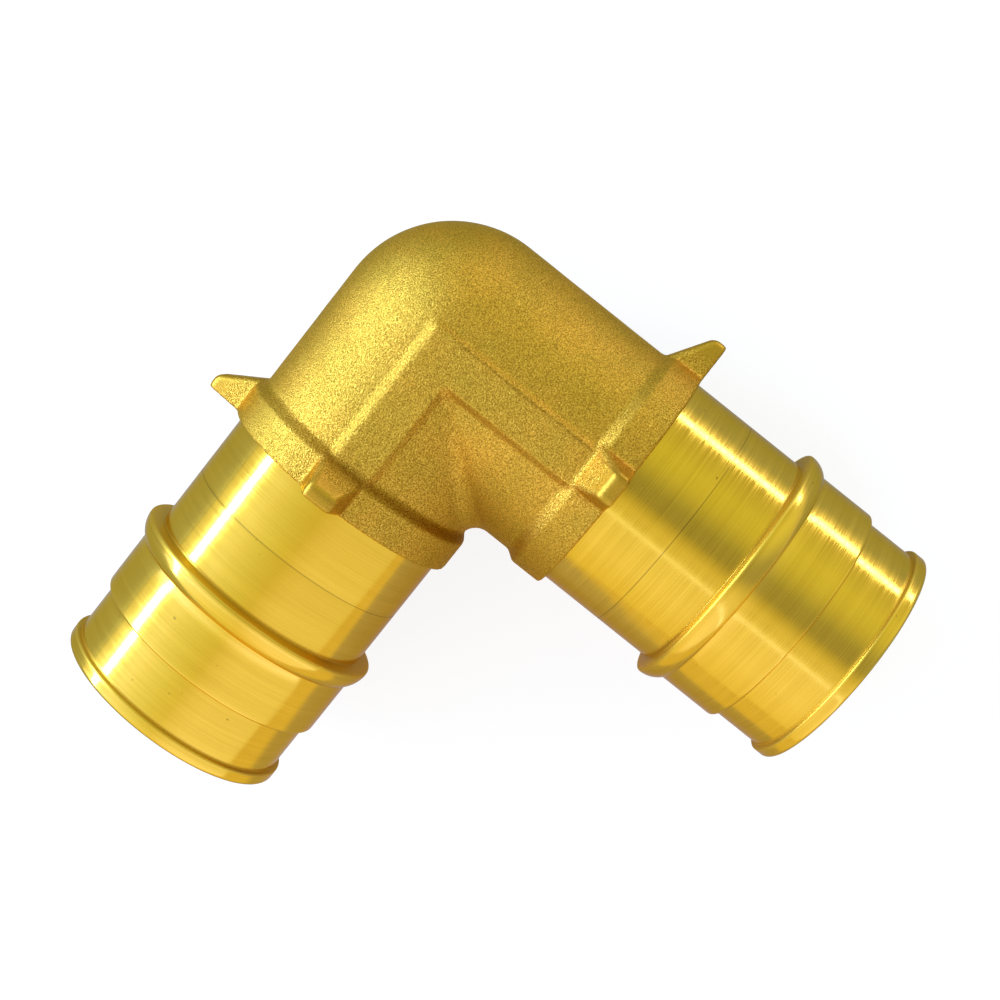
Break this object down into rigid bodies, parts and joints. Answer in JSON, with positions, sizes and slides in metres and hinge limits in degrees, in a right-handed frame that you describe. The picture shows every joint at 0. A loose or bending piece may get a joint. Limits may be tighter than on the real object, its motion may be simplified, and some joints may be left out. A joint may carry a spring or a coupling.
{
  "type": "pex expansion elbow",
  "caption": "Forged brass 90 degree elbow with a ribbed, lipped barb on each arm for expanded plastic pipe, collars with stop lugs and raised bands.",
  "frame": {"origin": "where the axes of the two waterways cross, on the mid-plane of the forging", "axes": "+X out along the shorter arm, +Y out along the longer arm, +Z square to both, out of the upper face with its raised band"},
  "size_m": [0.0543, 0.0569, 0.0274],
  "materials": {
    "brass": "shot-blasted forging with turned, bright barbs"
  },
  "bodies": {
    "root": {"elbow_body": "brass"}
  },
  "joints": []
}
